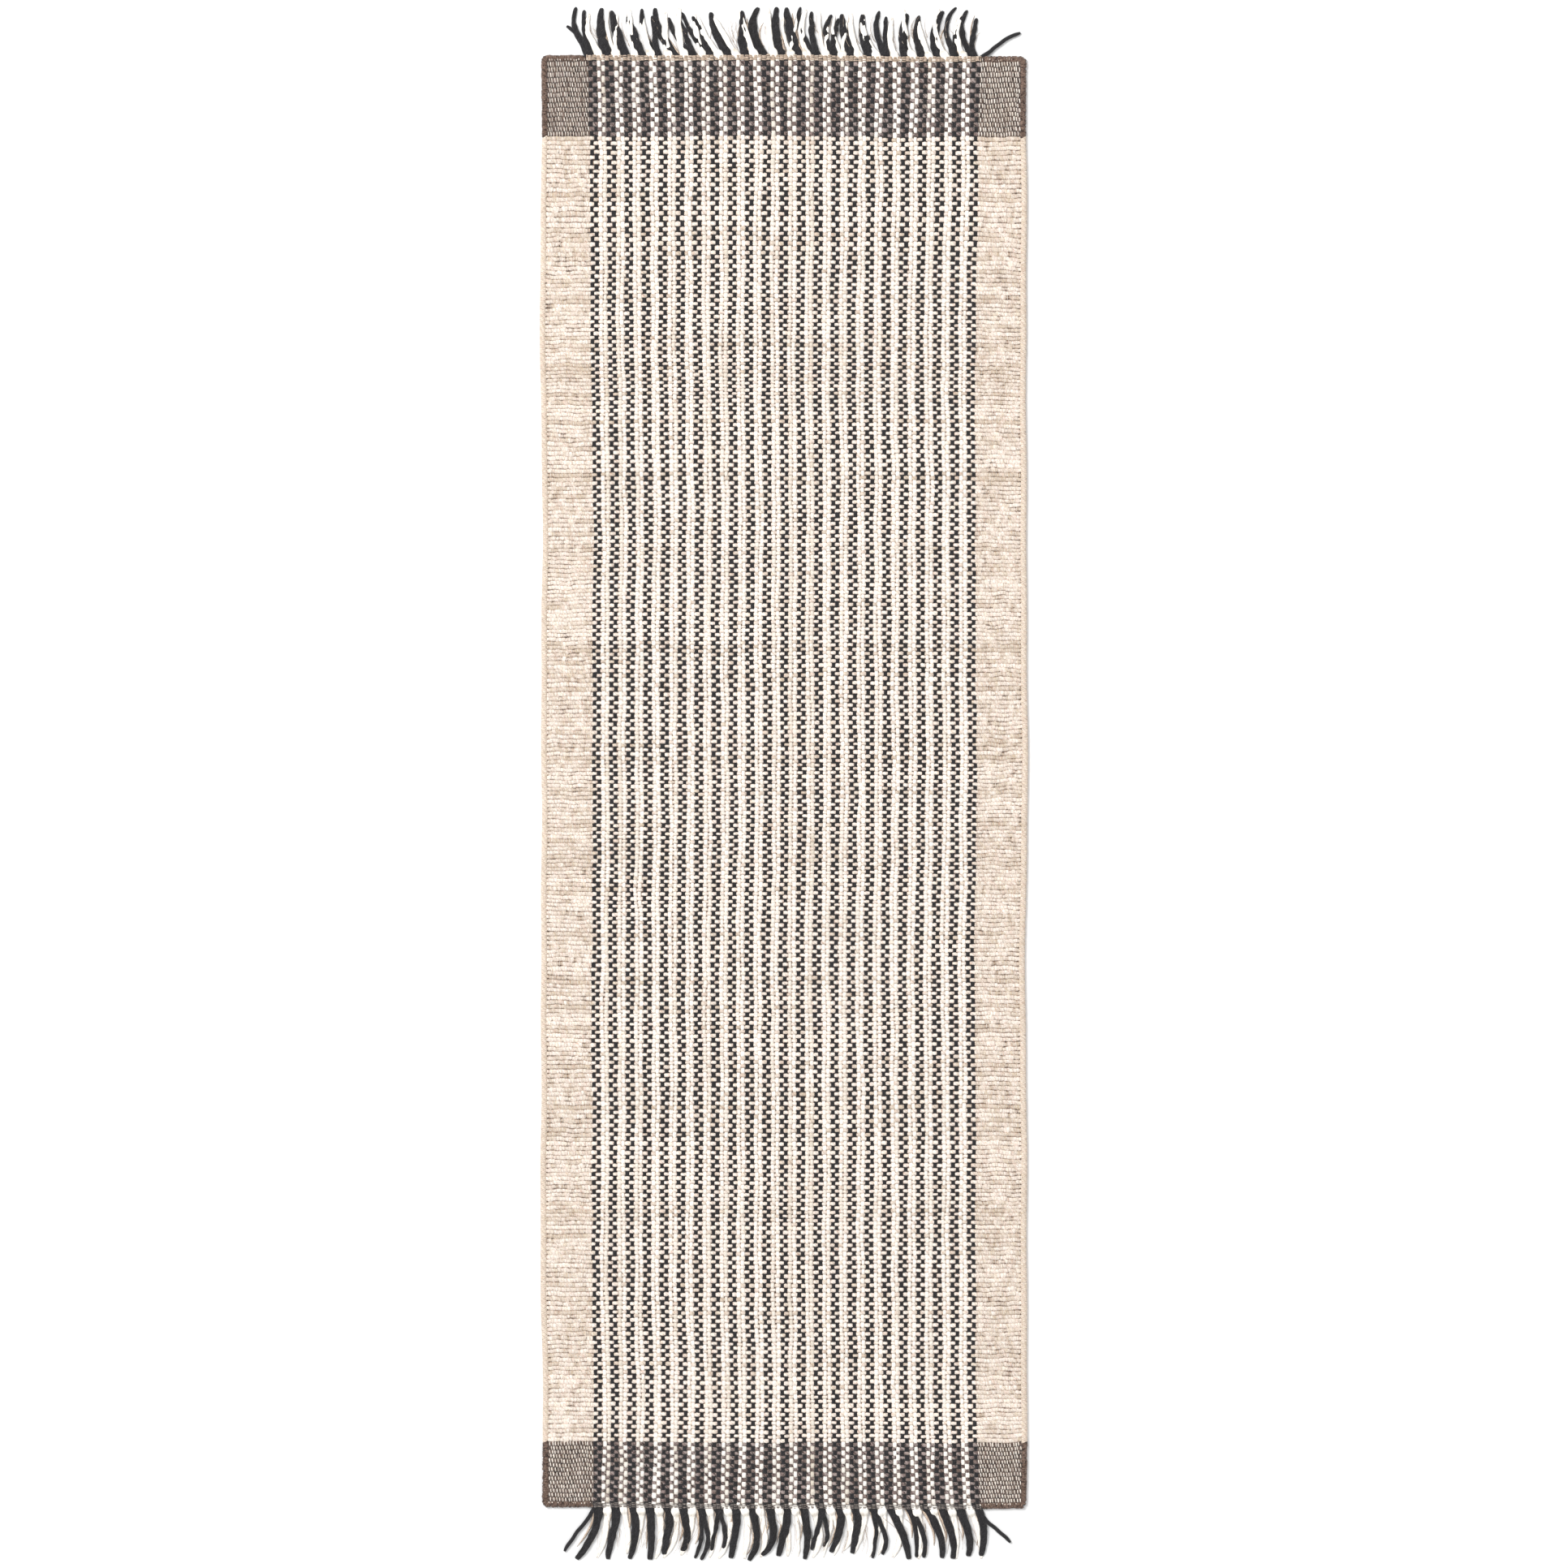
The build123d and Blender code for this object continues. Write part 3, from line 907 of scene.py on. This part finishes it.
# Along each lock: half the distance between its two yarns, their half width, and its height over the floor
DARK_SPREAD = {
    "head": np.interp(SHARE, (0, 0.16, 0.5, 0.75, 1), (3.3, 3.5, 3.3, 2.2, 0.5)) * MM,
    "foot": np.interp(SHARE, (0, 0.16, 0.26, 0.65, 1), (3.3, 3.1, 2.6, 2.1, 1.4)) * MM,
}
IVORY_SPREAD_STOPS = (0, 0.08, 0.12, 0.17, 0.22, 0.65, 1)
IVORY_SPREAD = np.interp(SHARE, IVORY_SPREAD_STOPS, (3.3, 2.8, 2.3, 2.2, 2.1, 1.9, 0.9)) * MM
DARK_STOPS = (0, 0.14, 0.3, 0.6, 0.9, 0.97, 1)
DARK_THICK = {
    "head": np.interp(SHARE, DARK_STOPS, (3.2, 4.2, 4.4, 4.3, 3.1, 2.5, 1.2)) * MM,
    "foot": np.interp(SHARE, DARK_STOPS, (3.2, 4.0, 3.8, 3.6, 3.0, 2.7, 2.0)) * MM,
}
# An ivory lock starts as a round knob at the header
IVORY_STOPS = (0, 0.08, 0.11, 0.145, 0.175, 0.2, 0.24, 0.6, 0.88, 1)
IVORY_THICK = np.interp(SHARE, IVORY_STOPS, (3.0, 3.6, 4.5, 4.7, 4.3, 3.1, 2.7, 2.9, 2.2, 0.6)) * MM
# The ivory locks' tone along their length, with a painted crease of shade beyond the knob
IVORY_TONE_AND_CREASE_SHADE = np.interp(SHARE, (0.14, 0.2, 0.26), (0.75, 0.15, 0.8))
# At the head the ivory locks lie over the dark ones, and at the foot only their knobs do
DARK_LEVEL = {
    "head": 0.2 * MM,
    "foot": np.interp(SHARE, (0, 0.15, 0.3, 0.75, 1), (0.2, 0.3, 2.2, 2.2, 0.2)) * MM,
}
IVORY_LEVEL = {
    "head": np.interp(SHARE, (0, 0.15, 0.7, 1), (1.6, 2.2, 2.4, 0.3)) * MM,
    "foot": np.interp(SHARE, (0, 0.17, 0.32, 1), (1.8, 1.8, 0.2, 0.2)) * MM,
}
CORE_THICK = np.interp(SHARE, (0, 0.1, 0.3, 0.8, 1), (1.0, 2.0, 2.3, 1.2, 0.4)) * MM
LOCK_FLATNESS = 0.62  # a lock's height over its width
HEADING_SPREAD = (6, 8, 12)  # degrees, at a lock's root, middle and tip
NEIGHBOUR_LEAN = ((3, 6),)  # degrees that neighbouring locks lean together
SHORTEST = 0.2  # how much shorter than the fringe a lock can be
SHORT_POWER = 1.5  # the higher, the fewer locks are short
DARK_SPLITS, IVORY_SPLITS = 0.3, 0.2  # the share of locks that split in two
SPLIT_WIDTHS = (4 * MM, 9 * MM)
SPLIT_START, SPLIT_RUN, SPLIT_POWER = 0.22, 0.5, 1.3  # where a lock opens, and how
SPLIT_SHORTER = 0.14  # how much shorter a split lock's second yarn can be
SPREAD_ALONG = 0.6  # how much of a slanted lock's spread goes along the rug
CLOTH_SHARE = 0.14  # of a lock's length, in which it leaves the cloth's level for its own
LEVELS = (0.85, 1.1)  # how high a lock lies, against its usual level
LOCK_WAVE = 0.35 * MM
LOCK_OPEN, LOCK_SHADE = 0.4, 1.5  # painted shade: how open a lock's sides are painted, and how fast its underside darkens
# How unequal the locks' yarns are along themselves, and from each other
LOCK_UNEVEN, LOCK_SIZES = 0.09, 0.06
LOCK_MOTTLE, LOCK_TONES = 0.1, 0.12


def heading_line(roots, lengths, headings, way):
    """Lines that leave their roots at a heading and turn through others, in degrees from straight out."""
    stops = np.linspace(0, 1, headings.shape[1])
    turn = np.radians(np.array([np.interp(SHARE, stops, row) for row in headings]))
    step = lengths[:, None] / (FRINGE_RINGS - 1)
    x = roots[:, :1] + np.cumsum(np.sin(turn) * step, axis=1) - np.sin(turn[:, :1]) * step
    y = roots[:, 1:] + way * (np.cumsum(np.cos(turn) * step, axis=1) - np.cos(turn[:, :1]) * step)
    return x, y, turn


# The fringe was combed aside: a lock's headings at its root, middle and tip, at the rug's left and right
LEANS = {
    "head": ((-29, -14, -2), (-24, -4, 28)),
    "foot": ((14, -10, -28), (32, 16, -2)),
}


def lean(end, x):
    """The usual headings of locks that leave the cloth's end at x."""
    across = np.clip(x / PANEL_X / 2 + 0.5, 0, 1)[:, None] ** 2
    left, right = np.array(LEANS[end], float)
    return left * (1 - across) + right * across


def locks(name, end, pairs, thick, spread, level, brightness, split_share, material, slot, node):
    """Locks of fringe: each pair of warps leaves the header, draws together and runs out, or splits in two.

    level is how high the locks lie over the floor, along their length, and brightness is their tone, which
    for the ivory locks holds a painted crease of shade. Returns the locks' middle lines.
    """
    way, cloth_y, full = ENDS[end]
    count = len(pairs)
    middle = (WARP_X[2 * pairs] + WARP_X[2 * pairs + 1]) / 2
    roots = np.stack([middle, np.full(count, cloth_y - way * FRINGE_TUCK)], axis=1)
    turns = lean(end, middle) + rng.standard_normal((count, 3)) * HEADING_SPREAD
    turns += varied(1, count, NEIGHBOUR_LEAN)[0][:, None]
    x, y, turn = heading_line(roots, np.ones(count), turns, way)
    wanted = (full * (1 - SHORTEST * rng.random(count) ** SHORT_POWER) + FRINGE_TUCK)[:, None]
    scale = wanted / np.abs(y[:, -1:] - roots[:, 1:])
    x = roots[:, :1] + (x - roots[:, :1]) * scale
    y = roots[:, 1:] + (y - roots[:, 1:]) * scale
    splits = (rng.random(count) < split_share) * rng.uniform(*SPLIT_WIDTHS, count)
    apart = spread + splits[:, None] * np.clip((SHARE - SPLIT_START) / SPLIT_RUN, 0, 1) ** SPLIT_POWER
    centres = np.zeros((2 * count, FRINGE_RINGS, 3))
    thickness = np.zeros((2 * count, FRINGE_RINGS))
    for k, hand in enumerate((-1, 1)):
        own = slice(k, None, 2)
        shorter = 1 - SPLIT_SHORTER * rng.random(count)[:, None] * (splits[:, None] > 0) * (k == 1)
        offset = hand * apart + LOCK_WAVE * wander(count, FRINGE_RINGS, 4)
        centres[own, :, 0] = roots[:, :1] + (x - roots[:, :1]) * shorter + offset * np.cos(turn)
        along = offset * way * np.sin(turn) * SPREAD_ALONG
        centres[own, :, 1] = roots[:, 1:] + (y - roots[:, 1:]) * shorter - along
        uneven = LOCK_UNEVEN * wander(count, FRINGE_RINGS, 2) + LOCK_SIZES * rng.standard_normal((count, 1))
        thickness[own] = thick * (1 + uneven)
    lying = thickness * LOCK_FLATNESS + level * rng.uniform(*LEVELS, count).repeat(2)[:, None]
    at_cloth = np.clip(1 - SHARE / CLOTH_SHARE, 0, 1)
    centres[..., 2] = lying * (1 - at_cloth) + MIDDLE_Z * at_cloth
    tone = brightness + LOCK_TONES * rng.standard_normal((2 * count, 1))
    tone = tone + LOCK_MOTTLE * wander(2 * count, FRINGE_RINGS, 4)
    centres = settle(centres)

    # Painted shade: a lock's sides and underside are painted darker, which outlines it on the floor
    def open_at(points):
        return LOCK_OPEN + LOCK_SHADE * (points[..., 2] - centres[..., 2:]) / thickness[..., None]

    piece = tubes(
        name, centres, thickness, thickness * LOCK_FLATNESS, material,
        sides=10, tone=tone, turn=24 * MM, open_at=open_at,
    )
    hold(piece, slot, node)
    return x, y, turn


SINGLE_FIBRES = 110
# Single fibres start and end within these shares of the fringe's length, and take a part of the way between
FIBRE_STARTS, FIBRE_LIMIT, FIBRE_PARTS = (0.05, 0.45), 0.92, (0.5, 1)
FIBRE_TURN = 12  # degrees that fibres stray from the locks' lean, and bend
# In millimetres
FIBRE_HEIGHTS = (1, 5)
FIBRE_THICK = (0.34, 0.16)  # at the root and at the tip
CORE_ASIDE = (4.6, 6.4)  # from a tan strand to its dark lock
# Against the lock's length and the strand's usual thickness
CORE_LENGTHS, CORE_SIZES = (0.55, 0.95), (0.6, 1.2)
CORE_LEVEL = 0.2 * MM


def wisps(end, middles):
    """Single fibres that stand away from the locks, and a tan strand beside each dark lock."""
    way, cloth_y, full = ENDS[end]
    count = SINGLE_FIBRES
    start = rng.uniform(*FIBRE_STARTS, count)
    roots = np.stack([rng.uniform(-PANEL_X, PANEL_X, count), cloth_y + way * start * full], axis=1)
    turns = lean(end, roots[:, 0])
    turns = turns + rng.standard_normal((count, 1)) * FIBRE_TURN
    turns = turns + rng.standard_normal((count, 3)) * FIBRE_TURN
    lengths = (FIBRE_LIMIT - start) * full * rng.uniform(*FIBRE_PARTS, count)
    x, y, _ = heading_line(roots, lengths, turns, way)
    heights = rng.uniform(*FIBRE_HEIGHTS, (count, 1)) * MM * np.ones(FRINGE_RINGS)
    thick = np.linspace(*FIBRE_THICK, FRINGE_RINGS) * MM * np.ones((count, 1))

    lock_x, lock_y, turn = middles
    aside = way * rng.uniform(*CORE_ASIDE, (len(lock_x), 1)) * MM
    short = rng.uniform(*CORE_LENGTHS, (len(lock_x), 1))
    core_x = lock_x[:, :1] + (lock_x - lock_x[:, :1]) * short + aside * np.cos(turn)
    core_y = lock_y[:, :1] + (lock_y - lock_y[:, :1]) * short - aside * way * np.sin(turn)
    core_thick = CORE_THICK * rng.uniform(*CORE_SIZES, (len(lock_x), 1))
    core_heights = core_thick + CORE_LEVEL

    fibres = np.stack([x, y, heights], axis=-1)
    cores = np.stack([core_x, core_y, core_heights], axis=-1)
    centres = np.concatenate([fibres, cores])
    thick = np.concatenate([thick, core_thick])
    piece = tubes(f"{end}_fringe_wisps", settle(centres), thick, thick, jute, turn=16 * MM)
    return hold(piece, "ivory_yarn")


STRAY_INSET, STRAY_TUCK = 4 * MM, 5 * MM  # from the centre panel's side and from the cloth's end
STRAYS = {  # the left and the right strand's length in millimetres, and their headings from straight out
    "head": ((66, 84), ((-24, -34, -62), (62, 52, 74))),
    "foot": ((88, 82), ((-22, -40, -26), (18, 56, 44))),
}


def stray_strands(end):
    way, cloth_y, _ = ENDS[end]
    roots = np.array([(side * (PANEL_X - STRAY_INSET), cloth_y - way * STRAY_TUCK) for side in (-1, 1)])
    lengths, headings = (np.array(values) for values in STRAYS[end])
    x, y, _ = heading_line(roots, lengths * MM, headings, way)
    x += 0.5 * MM * wander(2, FRINGE_RINGS, 4)
    thick = np.interp(SHARE, (0, 0.1, 0.9, 1), (3.2, 3.2, 3.0, 2.0)) * MM * np.ones((2, 1))
    centres = np.stack([x, y, thick + 0.5 * MM], axis=-1)
    piece = tubes(f"{end}_stray_strands", settle(centres), thick, thick * 0.9, charcoal, sides=8)
    return hold(piece, "dark_yarn", f"{end}_corner_strands")


def fringe():
    """The locks, the wisps between them and the stray strands. The outer pairs of warps are dark."""
    pairs = np.arange(WARP_COUNT // 2)
    for end in ENDS:
        middles = locks(
            f"{end}_dark_locks", end, pairs[::2], DARK_THICK[end], DARK_SPREAD[end], DARK_LEVEL[end],
            PLAIN_TONE, DARK_SPLITS, charcoal, "dark_yarn", f"{end}_dark_tassels",
        )
        locks(
            f"{end}_ivory_locks", end, pairs[1::2], IVORY_THICK, IVORY_SPREAD, IVORY_LEVEL[end],
            IVORY_TONE_AND_CREASE_SHADE, IVORY_SPLITS, ivory, "ivory_yarn", f"{end}_ivory_tassels",
        )
        wisps(end, middles)
        stray_strands(end)


# ---- camera, floor and light

PICTURE_FILL = 0.991  # the rug's length over the picture's side
LENS = 120.0
SENSOR = 36.0
CAMERA_REACH = 60.0
FLOOR_HALF_SIDE = 12.0
SKY_STRENGTH = 0.62
LIGHTS = {  # place, side and what it gives a white surface that lies level at the rug's middle
    "key": ((-5.0, 4.0, 8.0), 4.0, 0.62),
    "fill": ((5.0, -4.0, 8.0), 5.0, 0.1),
}


def camera():
    data = bpy.data.cameras.new("camera")
    data.lens, data.sensor_width = LENS, SENSOR
    data.clip_end = CAMERA_REACH
    seen = (cad_box[1][1] - cad_box[0][1]) / PICTURE_FILL
    eye = new_object("camera", data)
    eye.location = (0, 0, cad_box[1][2] + seen * LENS / SENSOR)
    bpy.context.scene.camera = eye


def floor():
    mesh = bpy.data.meshes.new("floor")
    signs = ((-1, -1), (1, -1), (1, 1), (-1, 1))
    corners = [(x * FLOOR_HALF_SIDE, y * FLOOR_HALF_SIDE, 0) for x, y in signs]
    mesh.from_pydata(corners, [], [(0, 1, 2, 3)])
    material = bpy.data.materials.new("pale_floor")
    material.use_nodes = True
    shader = material.node_tree.nodes["Principled BSDF"]
    shader.inputs["Base Color"].default_value = colour(246, 246, 246)
    shader.inputs["Roughness"].default_value = 0.9
    mesh.materials.append(material)
    new_object("floor", mesh)


def area_light(name, place, size, brightness):
    """A square light aimed at the rug's middle."""
    distance = math.dist(place, (0, 0, 0))
    data = bpy.data.lights.new(name, "AREA")
    data.shape, data.size = "SQUARE", size
    data.energy = brightness * math.pi**2 * distance**3 / place[2]
    lamp = new_object(name, data)
    lamp.location = place
    lamp.rotation_euler = mathutils.Vector(place).to_track_quat("Z", "Y").to_euler()


def light():
    world = bpy.data.worlds.new("studio")
    world.use_nodes = True
    background = world.node_tree.nodes["Background"]
    background.inputs["Color"].default_value = (1, 1, 1, 1)
    background.inputs["Strength"].default_value = SKY_STRENGTH
    bpy.context.scene.world = world
    for name, (place, size, brightness) in LIGHTS.items():
        area_light(name, place, size, brightness)
    bpy.context.scene.view_settings.view_transform = "Standard"


camera()
floor()
light()
cloth = gap_shade_sheet()
woven = weave()
edges()
woven += [header(end) for end in ENDS]
fringe()
